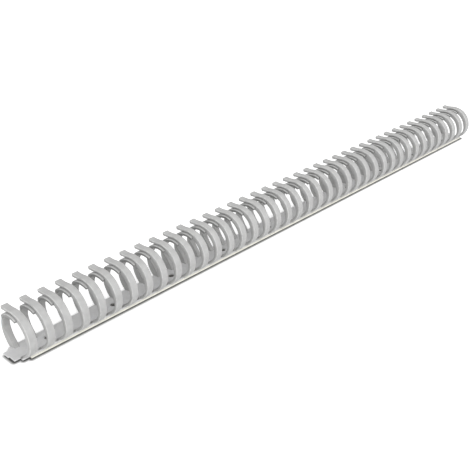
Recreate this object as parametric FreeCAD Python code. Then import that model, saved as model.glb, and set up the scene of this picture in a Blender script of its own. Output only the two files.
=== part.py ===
import FreeCAD, Part
import math
import os

os.makedirs("parts", exist_ok=True)

# Layout along the duct
finger_count = 40
finger_pitch = 12.5
finger_width = 5.0
fingers_per_bay = 4

# Ring section
ring_radius = 15.0
finger_thickness = 2.2
floor_inset = 3.4
inner_end_angle = 110.0

# Lap of the outer finger over the inner one
lap_clearance = 0.3
lap_thickness = 1.8
lap_start_angle = 130.0
lap_end_angle = 78.0

# Flared tip of the outer finger
tip_reach = 7.9
tip_rise = 1.5
tip_thickness = 1.5

# Root of the outer finger
root_gap = 0.2
root_inset = 1.9
root_angle = 222.0

# Base strip, tape and liner
strip_thickness = 1.0
tongue_half_width = 5.6
tongue_length = 4.75
tongue_step = 0.9
hole_radius = 2.25
tape_thickness = 1.0
liner_thickness = 0.2
tape_setback = 10.4

# Count of flats on each curve of the repeated fingers
front_outside_count = 12
front_inside_count = 7
lap_under_count = 5
lap_outside_count = 2
tip_count = 3
back_outside_count = 12
back_inside_count = 11

# Heights and offsets that follow from the sizes above
duct_length = finger_count * finger_pitch
near_overhang = finger_pitch / 2.0
near_end = -duct_length / 2.0
far_end = duct_length / 2.0
floor_z = floor_inset - ring_radius
strip_under = floor_z - strip_thickness
tape_under = strip_under - tape_thickness
liner_under = tape_under - liner_thickness
strip_half_width = math.sqrt(ring_radius ** 2 - strip_under ** 2)
ring_inside = ring_radius - finger_thickness
front_offset = finger_thickness + lap_clearance
lap_inside = ring_radius + lap_clearance
lap_outside = lap_inside + lap_thickness


def polar(radius, angle, centre=(0.0, 0.0)):
    turn = math.radians(angle)
    return (centre[0] + radius * math.cos(turn), centre[1] + radius * math.sin(turn))


def convex_arc(radius, start, end, flats, centre=(0.0, 0.0)):
    step = (end - start) / flats
    return [polar(radius, start + step * i, centre) for i in range(flats + 1)]


def hollow_arc(radius, start, end, flats, centre=(0.0, 0.0)):
    step = (end - start) / flats
    reach = radius / math.cos(math.radians(step) / 2.0)
    return [polar(reach, start + step * i, centre) for i in range(flats + 1)]


front_centre = polar(front_offset, lap_start_angle)
shift_y = -front_centre[0] / 2.0
shift_z = -liner_under


def place(points, x):
    return [FreeCAD.Vector(x, y + shift_y, z + shift_z) for y, z in points]


def bar(points, x, length):
    corners = place(points, x)
    face = Part.Face(Part.makePolygon(corners + corners[:1]))
    return face.extrude(FreeCAD.Vector(length, 0.0, 0.0))


# Inner finger: rises from the strip's back edge and curls over the top
floor_reach = math.sqrt(max(ring_inside ** 2 - floor_z ** 2, 0.01))
back_root = -math.degrees(math.atan2(-strip_under, strip_half_width))
back_floor = -math.degrees(math.atan2(-floor_z, floor_reach))
back_outside = convex_arc(ring_radius, back_root, inner_end_angle, back_outside_count)
back_inside = hollow_arc(ring_inside, inner_end_angle, back_floor, back_inside_count)
back_foot = [(floor_reach, floor_z), (strip_half_width, floor_z)]
inner_profile = back_outside + back_inside[:-1] + back_foot

# Outer finger, outside: front arc, then the lap, then the flared tip
root_z = floor_z + root_gap
front_drop = math.asin(min((front_centre[1] - root_z) / ring_radius, 1.0))
front_root = 180.0 + math.degrees(front_drop)
cross = (lap_outside ** 2 + front_offset ** 2 - ring_radius ** 2)
cross = min(cross / (2.0 * lap_outside * front_offset), 1.0)
cross_angle = lap_start_angle - math.degrees(math.acos(cross))
cross_point = polar(lap_outside, cross_angle)
front_end = math.degrees(math.atan2(cross_point[1] - front_centre[1], cross_point[0] - front_centre[0]))
front_outside = convex_arc(ring_radius, front_root, front_end, front_outside_count, front_centre)
lap_top = convex_arc(lap_outside, cross_angle, lap_end_angle, lap_outside_count)[1:]

# Outer finger, underside: lap, then the front arc down to the root
lap_under = hollow_arc(lap_inside, lap_end_angle, lap_start_angle, lap_under_count)
front_inside = hollow_arc(ring_inside, lap_start_angle, root_angle, front_inside_count, front_centre)[1:]

# Tip: both faces leave the lap along its tangent and turn outwards
along = (math.sin(math.radians(lap_end_angle)), -math.cos(math.radians(lap_end_angle)))
out = polar(1.0, lap_end_angle)


def from_lap(start, forward, rise):
    y = start[0] + along[0] * forward + out[0] * rise
    z = start[1] + along[1] * forward + out[1] * rise
    return (y, z)


under_start = polar(lap_inside, lap_end_angle)
top_start = polar(lap_outside, lap_end_angle)
top_rise = tip_rise + tip_thickness - lap_thickness
tip_under = []
tip_top = []
for i in range(1, tip_count + 1):
    part = i / tip_count
    tip_under.append(from_lap(under_start, tip_reach * part, tip_rise * part ** 2))
    tip_top.append(from_lap(top_start, tip_reach * part, top_rise * part ** 2))

root_face = [(front_outside[0][0] + root_inset + root_gap, root_z)]
outer_profile = front_outside + lap_top + tip_top + tip_under[::-1]
outer_profile = outer_profile + lap_under + front_inside + root_face

# Base strip with a narrower, stepped tongue at the near end
tongue_inner = near_end + tongue_length
outline = [
    (near_end, 0.0),
    (near_end, tongue_half_width),
    (tongue_inner, tongue_half_width),
    (tongue_inner, strip_half_width),
    (far_end, strip_half_width),
    (far_end, -strip_half_width),
    (tongue_inner, -strip_half_width),
    (tongue_inner, -tongue_half_width),
    (near_end + tongue_step, -tongue_half_width),
    (near_end + tongue_step, 0.0),
]
corners = [FreeCAD.Vector(x, y + shift_y, strip_under + shift_z) for x, y in outline]
strip = Part.Face(Part.makePolygon(corners + corners[:1])).extrude(FreeCAD.Vector(0.0, 0.0, strip_thickness))


def layer(under, thickness):
    corner = FreeCAD.Vector(near_end + tape_setback, shift_y - strip_half_width, under + shift_z)
    return Part.makeBox(duct_length - tape_setback, 2.0 * strip_half_width, thickness, corner)


tape = layer(tape_under, tape_thickness)
liner = layer(liner_under, liner_thickness)

# Screw holes: one in the second slot of every bay
slot_width = finger_pitch - finger_width
first_hole = near_end + near_overhang + finger_pitch + finger_width + slot_width / 2.0
hole_depth = strip_thickness + tape_thickness + liner_thickness
drills = []
for bay in range(finger_count // fingers_per_bay):
    x = first_hole + bay * fingers_per_bay * finger_pitch
    start = FreeCAD.Vector(x, shift_y, liner_under + shift_z - 1.0)
    drills.append(Part.makeCylinder(hole_radius, hole_depth + 2.0, start))
strip = strip.cut(drills)
tape = tape.cut(drills)
liner = liner.cut(drills)

strip.exportStep("parts/base_strip.step")
tape.exportStep("parts/adhesive_tape.step")
liner.exportStep("parts/release_liner.step")

first_finger = near_end + near_overhang
for k in range(finger_count):
    finger = bar(outer_profile, first_finger + k * finger_pitch, finger_width)
    finger.exportStep("parts/outer_finger_%02d.step" % (k + 1))

for start in range(0, finger_count, fingers_per_bay):
    stop = min(start + fingers_per_bay, finger_count)
    group = []
    for k in range(start, stop):
        group.append(bar(inner_profile, first_finger + k * finger_pitch, finger_width))
    Part.makeCompound(group).exportStep("parts/inner_fingers_%02d_%02d.step" % (start + 1, stop))
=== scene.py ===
import math
import random

import bmesh
import bpy
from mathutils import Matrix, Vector
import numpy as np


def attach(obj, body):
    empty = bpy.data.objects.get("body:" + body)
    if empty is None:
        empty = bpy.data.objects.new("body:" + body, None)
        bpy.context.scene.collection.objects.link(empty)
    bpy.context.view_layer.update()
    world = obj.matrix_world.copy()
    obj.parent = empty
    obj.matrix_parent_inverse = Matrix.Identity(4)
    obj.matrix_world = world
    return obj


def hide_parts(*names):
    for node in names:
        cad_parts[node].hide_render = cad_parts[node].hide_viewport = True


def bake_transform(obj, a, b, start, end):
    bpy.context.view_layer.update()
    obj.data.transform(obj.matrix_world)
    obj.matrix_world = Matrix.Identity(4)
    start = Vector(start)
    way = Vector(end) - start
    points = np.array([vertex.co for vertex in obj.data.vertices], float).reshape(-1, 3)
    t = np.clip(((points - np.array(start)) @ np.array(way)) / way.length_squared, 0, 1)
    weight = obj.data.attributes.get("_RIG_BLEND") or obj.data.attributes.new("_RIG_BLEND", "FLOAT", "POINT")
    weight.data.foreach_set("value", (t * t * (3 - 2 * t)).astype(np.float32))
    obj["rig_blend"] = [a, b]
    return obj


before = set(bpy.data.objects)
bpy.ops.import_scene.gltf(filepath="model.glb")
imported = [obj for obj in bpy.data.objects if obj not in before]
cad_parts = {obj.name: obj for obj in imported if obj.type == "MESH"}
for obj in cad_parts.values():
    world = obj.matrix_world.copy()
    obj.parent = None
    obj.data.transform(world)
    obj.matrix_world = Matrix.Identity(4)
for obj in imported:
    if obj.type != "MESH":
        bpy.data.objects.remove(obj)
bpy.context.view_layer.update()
print("frame loaded,", len(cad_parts), "nodes")

mm = 0.001
draw = random.Random(30)

# Sizes shared by all pieces, in millimetres and degrees
duct = {
    "fingers": 40,
    "pitch": 12.5,
    "fingerWidth": 5.0,
    "firstFinger": -243.75,
    "ringRadius": 15.0,
    "wall": 2.2,
    "lapGap": 0.3,
    "lapWall": 1.8,
    "lapStart": 130.0,
    "lapEnd": 78.0,
    "floor": -11.6,  # top of the strip, from the rings' centre
    "stripUnder": -12.6,
    "halfWidth": 8.139,
    "nearEnd": -250.0,
    "farEnd": 250.0,
    "firstHole": -222.5,
    "holePitch": 50.0,
    "holes": 10,
    "shiftY": 0.8035,  # the rings' centre in the frame
    "shiftZ": 13.8,
}


def polar(radius, angle, centre=(0.0, 0.0)):
    turn = math.radians(angle)
    return Vector((centre[0] + radius * math.cos(turn), centre[1] + radius * math.sin(turn)))


def bezier(a, b, c, d, t):
    s = 1.0 - t
    return a * s ** 3 + b * (3 * s * s * t) + c * (3 * s * t * t) + d * t ** 3


def steps(count):
    return [i / count for i in range(count)]


def between(a, b, t):
    return a + (b - a) * t


def smoothShare(value, start, full):
    share = min(max((value - start) / (full - start), 0.0), 1.0)
    return share * share * (3.0 - 2.0 * share)


def toFrame(x, point):
    return Vector((x, point[0] + duct["shiftY"], point[1] + duct["shiftZ"])) * mm


frontOffset = duct["wall"] + duct["lapGap"]
frontCentre = polar(frontOffset, duct["lapStart"])
insideRadius = duct["ringRadius"] - duct["wall"]
lapUnder = duct["ringRadius"] + duct["lapGap"]
lapOver = lapUnder + duct["lapWall"]


# Band of plastic: pairs of outside and inside points, swept with rounded edges
# Outer edges get wear with a painted highlight, and inner edges get the painted shade given for each station
band = {
    "edgeRadius": 0.55,
    "edgeShare": 0.7,  # the radius takes at most this share of half the thickness
    "edgeSteps": 3,
    "endRound": 0.3,
    "endSteps": ((0.45, 0.12), (0.8, 0.35), (1.0, 0.75)),  # shares forward and inward
}


def section(outside, inside, halfWidth, taper=0.0, shrink=0.0):
    thickness = (outside - inside).length
    across = (outside - inside) / thickness
    middle = (outside + inside) / 2.0
    halfThick = thickness / 2.0 - shrink
    halfSide = halfWidth - shrink
    radius = min(band["edgeRadius"], halfThick * band["edgeShare"])
    points = []
    corners = ((1, 1, 0), (-1, 1, 90), (-1, -1, 180), (1, -1, 270))
    for sideX, sideV, start in corners:
        onInner = sideV < 0
        inset = taper if onInner else 0.0
        for i in range(band["edgeSteps"] + 1):
            turn = math.radians(start + 90.0 * i / band["edgeSteps"])
            x = sideX * (halfSide - radius - inset) + radius * math.cos(turn)
            v = sideV * (halfThick - radius) + radius * math.sin(turn)
            onEdge = 0.0 if i in (0, band["edgeSteps"]) else 1.0
            onSide = i == (band["edgeSteps"] if start in (90, 270) else 0)
            points.append((x, middle + across * v, onEdge, onSide, onInner))
    return points


def sweepBand(mesh, stations, x, edgeShades,
              widening=None, tapers=None, sideShades=None, innerShades=None):
    wearAndHighlight = mesh.verts.layers.float["edgeWearAndHighlight"]
    shade = mesh.verts.layers.float["lapShade"]
    half = duct["fingerWidth"] / 2.0
    plain = [0.0] * len(stations)
    widths = [half + extra for extra in widening or plain]
    sections = []
    for (outside, inside), width, taper in zip(stations, widths, tapers or plain):
        sections.append(section(outside, inside, width, taper))
    shades = list(zip(edgeShades, sideShades or plain, innerShades or plain))

    # Rounded end
    lastOut, lastIn = stations[-1]
    heading = lastOut + lastIn - stations[-2][0] - stations[-2][1]
    heading.normalize()
    for forward, inward in band["endSteps"]:
        push = heading * band["endRound"] * forward
        shrink = band["endRound"] * inward
        sections.append(section(lastOut + push, lastIn + push, widths[-1], 0.0, shrink))
        shades.append(shades[-1])

    rings = []
    for points, (edgeShade, sideShade, innerShade) in zip(sections, shades):
        ring = []
        for px, point, onEdge, onSide, onInner in points:
            vert = mesh.verts.new(toFrame(x + half + px, point))
            vert[wearAndHighlight] = 0.0 if onInner else onEdge
            dark = sideShade if onSide else 0.0
            if onInner:
                dark = max(dark, edgeShade * onEdge, 0.0 if onSide else innerShade)
            vert[shade] = dark
            ring.append(vert)
        rings.append(ring)
    size = len(rings[0])
    for a, b in zip(rings, rings[1:]):
        for i in range(size):
            j = (i + 1) % size
            mesh.faces.new((a[i], a[j], b[j], b[i]))
    mesh.faces.new(rings[0][::-1])
    mesh.faces.new(rings[-1])


def newBandMesh():
    mesh = bmesh.new()
    mesh.verts.layers.float.new("edgeWearAndHighlight")
    mesh.verts.layers.float.new("lapShade")
    return mesh


def finishMesh(mesh, name, material, smooth=True):
    bmesh.ops.recalc_face_normals(mesh, faces=mesh.faces[:])
    data = bpy.data.meshes.new(name)
    mesh.to_mesh(data)
    mesh.free()
    for face in data.polygons:
        face.use_smooth = smooth
    data.materials.append(material)
    piece = bpy.data.objects.new(name, data)
    bpy.context.scene.collection.objects.link(piece)
    return piece


# Single nodes: a value is either a socket to link or a number to set
def feed(tree, value, socket):
    if hasattr(value, "links"):
        tree.links.new(value, socket)
    else:
        socket.default_value = value


def mathNode(tree, operation, a, b=0.0):
    node = tree.nodes.new("ShaderNodeMath")
    node.operation = operation
    feed(tree, a, node.inputs[0])
    feed(tree, b, node.inputs[1])
    return node.outputs[0]


def objectPlace(tree):
    return tree.nodes.new("ShaderNodeTexCoord").outputs["Object"]


def noiseNode(tree, scale, detail):
    node = tree.nodes.new("ShaderNodeTexNoise")
    feed(tree, objectPlace(tree), node.inputs["Vector"])
    feed(tree, scale, node.inputs["Scale"])
    feed(tree, detail, node.inputs["Detail"])
    return node.outputs["Fac"]


def rampNode(tree, value, low, high):
    node = tree.nodes.new("ShaderNodeMapRange")
    feed(tree, value, node.inputs["Value"])
    feed(tree, low, node.inputs["From Min"])
    feed(tree, high, node.inputs["From Max"])
    return node.outputs["Result"]


def mixColour(tree, factor, a, b):
    node = tree.nodes.new("ShaderNodeMix")
    node.data_type = "RGBA"
    feed(tree, factor, node.inputs[0])
    feed(tree, a, node.inputs[6])
    feed(tree, b, node.inputs[7])
    return node.outputs[2]


def splitNode(tree, vector):
    node = tree.nodes.new("ShaderNodeSeparateXYZ")
    feed(tree, vector, node.inputs[0])
    return node.outputs


def paintedWeight(tree, name):
    node = tree.nodes.new("ShaderNodeAttribute")
    node.attribute_name = name
    return node.outputs["Fac"]


# Shader groups: moulded grain, and three effects laid over a colour: worn edges with a painted highlight,
# dust, and painted shade
groupLook = {
    "grainDetail": 3.0,
    "cloudDetail": 4.0,
    "cloudRange": (0.35, 0.7),
    "wearHighlightScale": 400.0,
    "wearHighlightDetail": 3.0,
    "wearHighlightRange": (0.3, 0.62),
    "dustScale": 180.0,
    "dustDetail": 5.0,
    "dustRange": (0.35, 0.7),
    "dustSlope": (0.2, 1.0),
}


def newGroup(name, colours, values, putColours, putValues):
    group = bpy.data.node_groups.new(name, "ShaderNodeTree")
    sockets = [("INPUT", "NodeSocketColor", label) for label in colours]
    sockets += [("INPUT", "NodeSocketFloat", label) for label in values]
    sockets += [("OUTPUT", "NodeSocketColor", label) for label in putColours]
    sockets += [("OUTPUT", "NodeSocketFloat", label) for label in putValues]
    for way, kind, label in sockets:
        group.interface.new_socket(name=label, in_out=way, socket_type=kind)
    given = group.nodes.new("NodeGroupInput").outputs
    put = group.nodes.new("NodeGroupOutput").inputs
    return group, given, put


def makeGrainGroup():
    look = groupLook
    group, given, put = newGroup(
        "mouldedGrain",
        ("Colour", "Cloud Colour"),
        ("Grain Scale", "Cloud Scale", "Roughness Low", "Roughness High"),
        ("Colour",),
        ("Roughness", "Height"),
    )
    grain = noiseNode(group, given["Grain Scale"], look["grainDetail"])
    cloud = noiseNode(group, given["Cloud Scale"], look["cloudDetail"])
    cloudMask = rampNode(group, cloud, *look["cloudRange"])
    span = mathNode(group, "SUBTRACT", given["Roughness High"], given["Roughness Low"])
    share = mathNode(group, "MULTIPLY", mathNode(group, "ADD", grain, cloudMask), 0.5)
    extra = mathNode(group, "MULTIPLY", span, share)
    feed(group, mixColour(group, cloudMask, given["Colour"], given["Cloud Colour"]), put["Colour"])
    feed(group, mathNode(group, "ADD", given["Roughness Low"], extra), put["Roughness"])
    feed(group, grain, put["Height"])
    return group


# Edges lighter from wear and from a painted highlight along the rounded outer edges
def wornAndHighlitEdges(group):
    patch = noiseNode(group, groupLook["wearHighlightScale"], groupLook["wearHighlightDetail"])
    patch = rampNode(group, patch, *groupLook["wearHighlightRange"])
    return mathNode(group, "MULTIPLY", paintedWeight(group, "edgeWearAndHighlight"), patch)


def dustyTops(group):
    normal = group.nodes.new("ShaderNodeNewGeometry").outputs["Normal"]
    upward = rampNode(group, splitNode(group, normal)["Z"], *groupLook["dustSlope"])
    patch = noiseNode(group, groupLook["dustScale"], groupLook["dustDetail"])
    patch = rampNode(group, patch, *groupLook["dustRange"])
    return mathNode(group, "MULTIPLY", upward, patch)


def shadedPlaces(group):
    return paintedWeight(group, "lapShade")


def makeLaidGroup(name, makeMask):
    group, given, put = newGroup(name, ("Colour", "Laid Colour"), ("Amount",), ("Colour",), ())
    mask = mathNode(group, "MULTIPLY", makeMask(group), given["Amount"])
    feed(group, mixColour(group, mask, given["Colour"], given["Laid Colour"]), put["Colour"])
    return group


grainGroup = makeGrainGroup()
wearAndHighlightGroup = makeLaidGroup("edgeWearAndHighlight", wornAndHighlitEdges)
dustGroup = makeLaidGroup("restingDust", dustyTops)
shadeGroup = makeLaidGroup("lapShade", shadedPlaces)


def placeGroup(tree, group, values):
    node = tree.nodes.new("ShaderNodeGroup")
    node.node_tree = group
    for label, value in values.items():
        feed(tree, value, node.inputs[label])
    return node.outputs


def newFinish(name, finish, tone):
    material = bpy.data.materials.new(name)
    material.use_nodes = True
    tree = material.node_tree
    shader = tree.nodes["Principled BSDF"].inputs
    feed(tree, finish["specular"], shader["Specular IOR Level"])
    grain = placeGroup(tree, grainGroup, {
        "Colour": tone["colour"],
        "Cloud Colour": tone["cloud"],
        "Grain Scale": finish["grainScale"],
        "Cloud Scale": finish["cloudScale"],
        "Roughness Low": finish["roughLow"],
        "Roughness High": finish["roughHigh"],
    })
    bump = tree.nodes.new("ShaderNodeBump")
    feed(tree, finish["bump"], bump.inputs["Strength"])
    feed(tree, finish["bumpDepth"], bump.inputs["Distance"])
    feed(tree, grain["Height"], bump.inputs["Height"])
    feed(tree, bump.outputs["Normal"], shader["Normal"])
    feed(tree, grain["Roughness"], shader["Roughness"])
    feed(tree, grain["Colour"], shader["Base Color"])
    return material


def layOver(material, group, colour, amount):
    tree = material.node_tree
    base = tree.nodes["Principled BSDF"].inputs["Base Color"]
    before = base.links[0].from_socket
    laid = placeGroup(tree, group, {"Colour": before, "Laid Colour": colour, "Amount": amount})
    feed(tree, laid["Colour"], base)


# Grey moulded plastic, lighter on the strip than on the fingers: painted light standing in for the light on
# the duct's floor
greyFinish = {
    "specular": 0.35,
    "bump": 0.12,
    "bumpDepth": 0.00006,
    "grainScale": 2500.0,
    "cloudScale": 240.0,
    "roughLow": 0.4,
    "roughHigh": 0.55,
    "wornAndHighlit": (0.731, 0.731, 0.722, 1.0),
    "dust": (0.696, 0.696, 0.679, 1.0),
    "shade": (0.104, 0.104, 0.099, 1.0),
}
fingerTone = {
    "colour": (0.479, 0.479, 0.475, 1.0),
    "cloud": (0.543, 0.543, 0.538, 1.0),
    "wornAndHighlitAmount": 0.9,
    "dustAmount": 0.25,
    "shadeAmount": 0.7,
}
litStripTone = {
    "colour": (0.713, 0.713, 0.727, 1.0),
    "cloud": (0.792, 0.792, 0.797, 1.0),
    "wornAndHighlitAmount": 0.4,
    "dustAmount": 0.35,
}

fingerPlastic = newFinish("fingerPlastic", greyFinish, fingerTone)
stripPlastic = newFinish("stripPlastic", greyFinish, litStripTone)
for plastic, tone in ((fingerPlastic, fingerTone), (stripPlastic, litStripTone)):
    layOver(plastic, wearAndHighlightGroup, greyFinish["wornAndHighlit"], tone["wornAndHighlitAmount"])
    layOver(plastic, dustGroup, greyFinish["dust"], tone["dustAmount"])
layOver(fingerPlastic, shadeGroup, greyFinish["shade"], fingerTone["shadeAmount"])

# Painted shadow: a soft dark patch on the strip at each outer finger's root, where the finger shades the
# corner
paintedRootShade = {
    "alongX": -1.0,
    "acrossY": -6.5,
    "radius": 2.2,
    "slant": 0.45,
    "stretch": 1.5,
    "colour": (0.157, 0.157, 0.148, 1.0),
}


def addPaintedRootShades(material):
    tree = material.node_tree
    base = tree.nodes["Principled BSDF"].inputs["Base Color"]
    place = splitNode(tree, objectPlace(tree))
    first = (duct["firstFinger"] + paintedRootShade["alongX"]) * mm
    pitch = duct["pitch"] * mm
    middleY = (paintedRootShade["acrossY"] + duct["shiftY"]) * mm

    # Distance from the nearest painted shadow's middle, repeated along the strip
    alongX = mathNode(tree, "SUBTRACT", place["X"], first - pitch / 2.0)
    alongX = mathNode(tree, "FLOORED_MODULO", alongX, pitch)
    alongX = mathNode(tree, "SUBTRACT", alongX, pitch / 2.0)
    acrossY = mathNode(tree, "SUBTRACT", place["Y"], middleY)
    lean = mathNode(tree, "MULTIPLY", alongX, paintedRootShade["slant"])
    acrossY = mathNode(tree, "SUBTRACT", acrossY, lean)
    acrossY = mathNode(tree, "MULTIPLY", acrossY, paintedRootShade["stretch"])
    squareX = mathNode(tree, "MULTIPLY", alongX, alongX)
    squareY = mathNode(tree, "MULTIPLY", acrossY, acrossY)
    away = mathNode(tree, "SQRT", mathNode(tree, "ADD", squareX, squareY))

    # Painted shadow mask: full at the middle, gone at the radius
    mask = rampNode(tree, away, paintedRootShade["radius"] * mm, 0.0)
    before = base.links[0].from_socket
    feed(tree, mixColour(tree, mask, before, paintedRootShade["colour"]), base)


addPaintedRootShades(stripPlastic)

# Tape foam, cream at its edge, dark painted shade on the hole walls, and the liner's film
foamFinish = {
    "specular": 0.2,
    "bump": 0.5,
    "bumpDepth": 0.0002,
    "grainScale": 1500.0,
    "cloudScale": 90.0,
    "roughLow": 0.8,
    "roughHigh": 0.95,
}
filmFinish = {
    "specular": 0.45,
    "bump": 0.08,
    "bumpDepth": 0.0001,
    "grainScale": 700.0,
    "cloudScale": 40.0,
    "roughLow": 0.25,
    "roughHigh": 0.4,
}
creamTone = {"colour": (0.90, 0.89, 0.80, 1.0), "cloud": (0.94, 0.93, 0.85, 1.0)}
holeShadeTone = {"colour": (0.174, 0.174, 0.165, 1.0), "cloud": (0.261, 0.261, 0.244, 1.0)}
filmTone = {"colour": (0.80, 0.79, 0.74, 1.0), "cloud": (0.84, 0.83, 0.79, 1.0)}

creamFoam = newFinish("creamFoam", foamFinish, creamTone)
holeShadeFoam = newFinish("holeShadeFoam", foamFinish, holeShadeTone)
linerFilm = newFinish("linerFilm", filmFinish, filmTone)
print("finishes made")


# Outer fingers: front arc, thick up to a step, lap over the inner finger, flared tip
outerFinger = {
    "rootAngle": 247.0,
    "leaveAngle": 222.0,
    "rootSteps": 8,
    "frontSteps": 24,
    "thickSteps": 6,
    "lapSteps": 11,
    "tipSteps": 9,
    "thickStart": 215.0,
    "thickFull": 165.0,
    "thickInside": 13.3,  # from the rings' centre
    "stepAngle": 113.0,
    "stepTurn": 0.5,
    "lapBlend": 0.02,
    "foot": (-4.9, -11.75),
    "footPull": (-1.7, 0.2),
    "leavePull": 2.6,
    "tipReach": 7.9,
    "tipTopRise": 1.2,
    "tipUnderRise": 0.55,
    "tipChange": (-0.03, 0.02),  # no two tips are turned up quite alike
    "bendStart": 2.2,
    "bendEnd": 8.5,
    "edgeShade": 0.25,
    "lapShade": 1.0,
}


# The front arc runs softly into the lap's own circle
def lapOutside(angle):
    turn = math.radians(angle - duct["lapStart"])
    sideways = frontOffset * math.sin(turn)
    front = frontOffset * math.cos(turn) + math.sqrt(duct["ringRadius"] ** 2 - sideways ** 2)
    gap = math.sqrt((front - lapOver) ** 2 + outerFinger["lapBlend"])
    return 0.5 * (front + lapOver + gap)


def outerStations(tipScale):
    s = outerFinger
    stations = []

    # Root, filled on the inside down to the strip
    leave = polar(insideRadius, s["leaveAngle"], frontCentre)
    leavePull = leave + polar(1.0, s["leaveAngle"] + 90.0) * s["leavePull"]
    foot = Vector(s["foot"])
    footPull = foot + Vector(s["footPull"])
    for t in steps(s["rootSteps"]):
        angle = between(s["rootAngle"], s["leaveAngle"], t)
        outside = polar(duct["ringRadius"], angle, frontCentre)
        stations.append((outside, bezier(foot, footPull, leavePull, leave, t)))

    # Front arc, then the thick part, then the lap
    for t in steps(s["frontSteps"]):
        angle = between(s["leaveAngle"], duct["lapStart"], t)
        outside = polar(duct["ringRadius"], angle, frontCentre)
        share = smoothShare(angle, s["thickStart"], s["thickFull"])
        radius = between(insideRadius, s["thickInside"], share)
        stations.append((outside, polar(radius, angle, frontCentre * (1.0 - share))))
    for t in steps(s["thickSteps"]) + [1.0]:
        angle = between(duct["lapStart"], s["stepAngle"], t)
        stations.append((polar(lapOutside(angle), angle), polar(s["thickInside"], angle)))
    for t in steps(s["lapSteps"]):
        angle = between(s["stepAngle"] - s["stepTurn"], duct["lapEnd"], t)
        stations.append((polar(lapOutside(angle), angle), polar(lapUnder, angle)))

    # Tip: leaves the lap along its tangent and turns outwards
    along = polar(1.0, duct["lapEnd"] - 90.0)
    out = polar(1.0, duct["lapEnd"])
    underStart = polar(lapUnder, duct["lapEnd"])
    topStart = polar(lapOutside(duct["lapEnd"]), duct["lapEnd"])
    topRise = s["tipTopRise"] * tipScale
    underRise = s["tipUnderRise"] * tipScale
    for t in steps(s["tipSteps"]) + [1.0]:
        forward = along * (s["tipReach"] * t)
        top = topStart + forward + out * (topRise * t * t)
        under = underStart + forward + out * (underRise * t * t)
        stations.append((top, under))
    return stations


frontCount = outerFinger["rootSteps"] + outerFinger["frontSteps"] + outerFinger["thickSteps"] + 1
lapCount = outerFinger["lapSteps"] + outerFinger["tipSteps"] + 1
outerShades = [outerFinger["edgeShade"]] * frontCount + [outerFinger["lapShade"]] * lapCount
bendY = (duct["shiftY"] - duct["halfWidth"]) * mm
for k in range(duct["fingers"]):
    number = "%02d" % (k + 1)
    x = duct["firstFinger"] + k * duct["pitch"]
    stations = outerStations(1.0 + draw.uniform(*outerFinger["tipChange"]))
    mesh = newBandMesh()
    sweepBand(mesh, stations, x, outerShades)
    piece = finishMesh(mesh, "outerFinger" + number, fingerPlastic)
    bendX = (x + duct["fingerWidth"] / 2.0) * mm
    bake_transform(piece, "duct_base", "finger_" + number,
             start=(bendX, bendY, outerFinger["bendStart"] * mm),
             end=(bendX, bendY, outerFinger["bendEnd"] * mm))
    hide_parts("outer_finger_" + number)
print("outer fingers made")


# Inner fingers: four to a bay, thick at the root, ending in a wider flat head under the lap
innerFinger = {
    "perBay": 4,
    "rootAngle": -57.0,
    "leaveAngle": -48.0,
    "endAngle": 110.0,
    "rootSteps": 6,
    "arcSteps": 36,
    "foot": (3.6, -11.75),
    "footPull": (1.5, 0.15),
    "leavePull": 2.2,
    "headStart": 24.0,
    "headFull": 50.0,
    "headExtra": 1.25,
    "thickStart": 10.0,
    "thickFull": -30.0,
    "thickExtra": 2.7,
    "thickTaper": 0.8,
    "shoulderAngle": 50.0,
    "shoulderSpread": 22.0,
    "shoulderRise": 0.35,
    "edgeShade": 0.25,
    "headShade": 0.6,
    "hollowStart": -20.0,
    "hollowFull": 40.0,
    "hollowShade": 0.04,
}

arcAngles = []
for t in steps(innerFinger["arcSteps"]) + [1.0]:
    arcAngles.append(between(innerFinger["leaveAngle"], innerFinger["endAngle"], t))
innerAngles = [innerFinger["leaveAngle"]] * innerFinger["rootSteps"] + arcAngles


def sharesAlong(start, full):
    return [smoothShare(angle, start, full) for angle in innerAngles]


def innerStations(thickShare):
    s = innerFinger
    stations = []
    insides = [insideRadius - s["thickExtra"] * share for share in thickShare[s["rootSteps"]:]]
    leave = polar(insides[0], s["leaveAngle"])
    leavePull = leave + polar(1.0, s["leaveAngle"] - 90.0) * s["leavePull"]
    foot = Vector(s["foot"])
    footPull = foot + Vector(s["footPull"])
    for t in steps(s["rootSteps"]):
        outside = polar(duct["ringRadius"], between(s["rootAngle"], s["leaveAngle"], t))
        stations.append((outside, bezier(foot, footPull, leavePull, leave, t)))
    for angle, inside in zip(arcAngles, insides):
        away = abs(angle - s["shoulderAngle"])
        rise = s["shoulderRise"] * smoothShare(away, s["shoulderSpread"], 0.0)
        stations.append((polar(duct["ringRadius"] + rise, angle), polar(inside, angle)))
    return stations


headShare = sharesAlong(innerFinger["headStart"], innerFinger["headFull"])
hollowShare = sharesAlong(innerFinger["hollowStart"], innerFinger["hollowFull"])
thickShare = sharesAlong(innerFinger["thickStart"], innerFinger["thickFull"])
widening = [innerFinger["headExtra"] * share for share in headShare]
tapers = [innerFinger["thickTaper"] * share for share in thickShare]
sideShades = [innerFinger["headShade"] * share for share in headShare]
innerShades = [innerFinger["hollowShade"] * share for share in hollowShare]
edgeShades = [between(innerFinger["edgeShade"], 1.0, share) for share in headShare]
stations = innerStations(thickShare)
for first in range(0, duct["fingers"], innerFinger["perBay"]):
    last = first + innerFinger["perBay"]
    mesh = newBandMesh()
    for k in range(first, last):
        x = duct["firstFinger"] + k * duct["pitch"]
        sweepBand(mesh, stations, x, edgeShades, widening, tapers, sideShades, innerShades)
    label = "%02d_%02d" % (first + 1, last)
    piece = finishMesh(mesh, "innerFingers" + label, fingerPlastic)
    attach(piece, "duct_base")
    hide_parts("inner_fingers_" + label)
print("inner fingers made")


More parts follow.
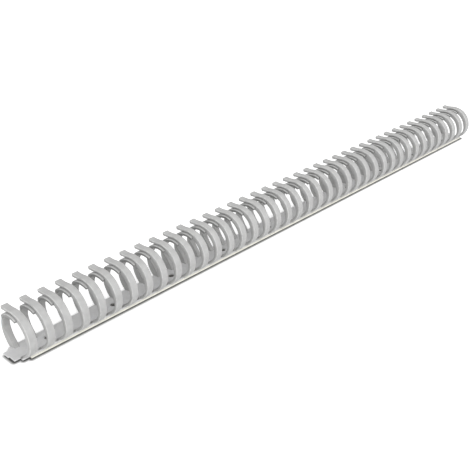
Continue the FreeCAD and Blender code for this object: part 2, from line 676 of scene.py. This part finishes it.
# Strip, tape and liner: punched sheets with rounded edges
sheets = {
    "tongueHalf": 5.6,
    "tongueLength": 4.75,
    "tongueStep": 0.9,
    "tapeSetback": 10.4,
    "tapeProud": 0.4,
    "tapeUnder": -13.6,
    "linerUnder": -13.8,
    "stripEdge": 0.2,
    "tapeEdge": 0.08,
    "linerEdge": 0.04,
    "edgeFlats": 2,
    "wornAndHighlitShare": 0.6,  # of the rounded edge's height
    "holeRadius": 2.25,
    "holePoints": 40,
    "holeMargin": 0.1,
    "weld": 0.001,
}


def holeLoop(k):
    x = duct["firstHole"] + k * duct["holePitch"]
    count = sheets["holePoints"]
    return [polar(sheets["holeRadius"], -360.0 * i / count, (x, 0.0)) for i in range(count)]


def onHoleWall(face):
    along = (face.center.x / mm - duct["firstHole"]) / duct["holePitch"]
    offset = (along - round(along)) * duct["holePitch"]
    away = math.hypot(offset, face.center.y / mm - duct["shiftY"])
    upright = abs(face.normal.z) < 0.5
    return upright and away < sheets["holeRadius"] + sheets["holeMargin"]


def punchedSheet(name, outline, under, top, edge, material, holeShadeMaterial=None):
    halfThick = (top - under) / 2.0
    curve = bpy.data.curves.new(name, "CURVE")
    curve.dimensions = "2D"
    curve.fill_mode = "BOTH"
    curve.extrude = (halfThick - edge) * mm
    curve.bevel_depth = edge * mm
    curve.bevel_resolution = sheets["edgeFlats"]
    curve.offset = -edge * mm
    for loop in [outline] + [holeLoop(k) for k in range(duct["holes"])]:
        spline = curve.splines.new("POLY")
        spline.points.add(len(loop) - 1)
        for point, (x, y) in zip(spline.points, loop):
            point.co = (x * mm, (y + duct["shiftY"]) * mm, 0.0, 1.0)
        spline.use_cyclic_u = True
    holder = bpy.data.objects.new(name + "Curve", curve)
    data = bpy.data.meshes.new_from_object(holder)
    bpy.data.objects.remove(holder)
    mesh = bmesh.new()
    mesh.from_mesh(data)
    bpy.data.meshes.remove(data)
    bmesh.ops.remove_doubles(mesh, verts=mesh.verts[:], dist=sheets["weld"] * mm)
    wearAndHighlight = mesh.verts.layers.float.new("edgeWearAndHighlight")
    # Rounded edges of the sheet get wear with a painted highlight
    for vert in mesh.verts:
        fromFace = abs(abs(vert.co.z) - halfThick * mm)
        vert[wearAndHighlight] = 1.0 if fromFace < edge * mm * sheets["wornAndHighlitShare"] else 0.0
        vert.co.z += ((top + under) / 2.0 + duct["shiftZ"]) * mm
    piece = finishMesh(mesh, name, material, smooth=False)
    # Hole walls take the dark painted shade
    if holeShadeMaterial:
        piece.data.materials.append(holeShadeMaterial)
        for face in piece.data.polygons:
            if onHoleWall(face):
                face.material_index = 1
    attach(piece, "duct_base")
    return piece


half = duct["halfWidth"]
tongueHalf = sheets["tongueHalf"]
tongueIn = duct["nearEnd"] + sheets["tongueLength"]
tongueStep = duct["nearEnd"] + sheets["tongueStep"]
stripOutline = [
    (duct["nearEnd"], 0.0),
    (tongueStep, 0.0),
    (tongueStep, -tongueHalf),
    (tongueIn, -tongueHalf),
    (tongueIn, -half),
    (duct["farEnd"], -half),
    (duct["farEnd"], half),
    (tongueIn, half),
    (tongueIn, tongueHalf),
    (duct["nearEnd"], tongueHalf),
]
tapeStart = duct["nearEnd"] + sheets["tapeSetback"]
tapeHalf = half + sheets["tapeProud"]
tapeOutline = [
    (tapeStart, -tapeHalf),
    (duct["farEnd"], -tapeHalf),
    (duct["farEnd"], tapeHalf),
    (tapeStart, tapeHalf),
]

strip = punchedSheet("baseStrip", stripOutline, duct["stripUnder"], duct["floor"],
                     sheets["stripEdge"], stripPlastic)
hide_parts("base_strip")
tape = punchedSheet("foamTape", tapeOutline, sheets["tapeUnder"], duct["stripUnder"],
                    sheets["tapeEdge"], creamFoam, holeShadeFoam)
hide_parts("adhesive_tape")
liner = punchedSheet("releaseLiner", tapeOutline, sheets["linerUnder"], sheets["tapeUnder"],
                     sheets["linerEdge"], linerFilm, holeShadeFoam)
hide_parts("release_liner")
print("strip, tape and liner made")


# Floor: white, with a contact shade painted round the tape, the bare strip and the tongue
floorLook = {
    "size": 8.0,
    "roughness": 0.9,
    "specular": 0.1,
    "colour": (0.93, 0.93, 0.93, 1.0),
    "bounceColour": (0.93, 0.93, 0.93, 1.0),
    "shadeColour": (0.122, 0.122, 0.117, 1.0),
    "shadeStart": 0.9,
    "shadeEnd": 3.6,
    "bareInset": 1.4,
    "glow": 0.5,
    "glowLow": (0.0, 0.0, 0.0, 1.0),
    "glowHigh": (1.0, 1.0, 1.0, 1.0),
}


def outsideBox(tree, place, lowX, highX, reach):
    squares = []
    spans = (("X", (lowX + highX) / 2.0, (highX - lowX) / 2.0), ("Y", duct["shiftY"], reach))
    for axis, middle, away in spans:
        offset = mathNode(tree, "SUBTRACT", place[axis], middle * mm)
        offset = mathNode(tree, "ABSOLUTE", offset)
        gap = mathNode(tree, "SUBTRACT", offset, away * mm)
        gap = mathNode(tree, "MAXIMUM", gap, 0.0)
        squares.append(mathNode(tree, "MULTIPLY", gap, gap))
    return mathNode(tree, "SQRT", mathNode(tree, "ADD", squares[0], squares[1]))


def makePaleFloor():
    look = floorLook
    material = bpy.data.materials.new("paleFloor")
    material.use_nodes = True
    tree = material.node_tree
    shader = tree.nodes["Principled BSDF"].inputs
    feed(tree, look["roughness"], shader["Roughness"])
    feed(tree, look["specular"], shader["Specular IOR Level"])
    feed(tree, look["glow"], shader["Emission Strength"])
    place = splitNode(tree, objectPlace(tree))
    inset = look["bareInset"]
    nearEnd = duct["nearEnd"] + inset
    underTape = outsideBox(tree, place, tapeStart, duct["farEnd"], tapeHalf)
    underStrip = outsideBox(tree, place, tongueIn + inset, tapeStart, half - inset)
    underTongue = outsideBox(tree, place, nearEnd, tongueIn, tongueHalf - inset)
    near = mathNode(tree, "MINIMUM", underStrip, underTongue)
    near = mathNode(tree, "MINIMUM", underTape, near)
    openShare = rampNode(tree, near, look["shadeStart"] * mm, look["shadeEnd"] * mm)
    seen = tree.nodes.new("ShaderNodeLightPath").outputs["Is Camera Ray"]
    painted = mixColour(tree, openShare, look["shadeColour"], look["colour"])
    feed(tree, mixColour(tree, seen, look["bounceColour"], painted), shader["Base Color"])
    glowShare = mathNode(tree, "MULTIPLY", seen, openShare)
    glow = mixColour(tree, glowShare, look["glowLow"], look["glowHigh"])
    feed(tree, glow, shader["Emission Color"])
    return material


floorMesh = bmesh.new()
bmesh.ops.create_grid(floorMesh, x_segments=1, y_segments=1, size=floorLook["size"] / 2.0)
floorPiece = finishMesh(floorMesh, "paleFloor", makePaleFloor(), smooth=False)

# Sky: lights the duct softly, and is white where it is seen
skyLook = {"colour": (1.0, 1.0, 1.0, 1.0), "strength": 0.6, "seenStrength": 1.0}

world = bpy.data.worlds.new("softStudio")
bpy.context.scene.world = world
world.use_nodes = True
skyTree = world.node_tree
sky = skyTree.nodes["Background"].inputs
skySeen = skyTree.nodes.new("ShaderNodeLightPath").outputs["Is Camera Ray"]
skyExtra = mathNode(skyTree, "MULTIPLY", skySeen, skyLook["seenStrength"] - skyLook["strength"])
feed(skyTree, skyLook["colour"], sky["Color"])
feed(skyTree, mathNode(skyTree, "ADD", skyExtra, skyLook["strength"]), sky["Strength"])

# Lamps, in metres and watts
softBoxes = {
    "keyLight": {"place": (-0.25, -1.2, 1.15), "aim": (0.0, 0.0, 0.0), "size": (1.6, 0.7), "power": 9.0},
    "topLight": {"place": (0.1, 0.15, 1.7), "aim": (0.0, 0.0, 0.0), "size": (1.6, 0.8), "power": 2.4},
    "farFill": {"place": (0.45, -0.75, 0.4), "aim": (0.25, 0.0, 0.0), "size": (0.6, 0.4), "power": 1.32},
    "endFill": {"place": (-1.8, -0.3, 0.5), "aim": (0.0, 0.0, 0.0), "size": (0.9, 0.7), "power": 6.0},
}


def lookAlong(direction):
    return Vector(direction).to_track_quat("-Z", "Y").to_euler()


for name, box in softBoxes.items():
    light = bpy.data.lights.new(name, "AREA")
    light.shape = "RECTANGLE"
    light.size, light.size_y = box["size"]
    light.energy = box["power"]
    lamp = bpy.data.objects.new(name, light)
    lamp.location = box["place"]
    lamp.rotation_euler = lookAlong(Vector(box["aim"]) - Vector(box["place"]))
    bpy.context.scene.collection.objects.link(lamp)

photoCamera = {
    "place": (-0.41167, -0.34615, 0.28313),
    "direction": (0.62331, 0.61366, -0.48467),
    "lens": 58.45,
    "sensor": 36.0,
    "clipStart": 0.01,
}

cameraData = bpy.data.cameras.new("photoCamera")
cameraData.lens = photoCamera["lens"]
cameraData.sensor_width = photoCamera["sensor"]
cameraData.sensor_fit = "HORIZONTAL"
cameraData.clip_start = photoCamera["clipStart"]
camera = bpy.data.objects.new("photoCamera", cameraData)
camera.location = photoCamera["place"]
camera.rotation_euler = lookAlong(photoCamera["direction"])
bpy.context.scene.collection.objects.link(camera)
bpy.context.scene.camera = camera
bpy.context.scene.view_settings.view_transform = "Standard"
print("stage made")
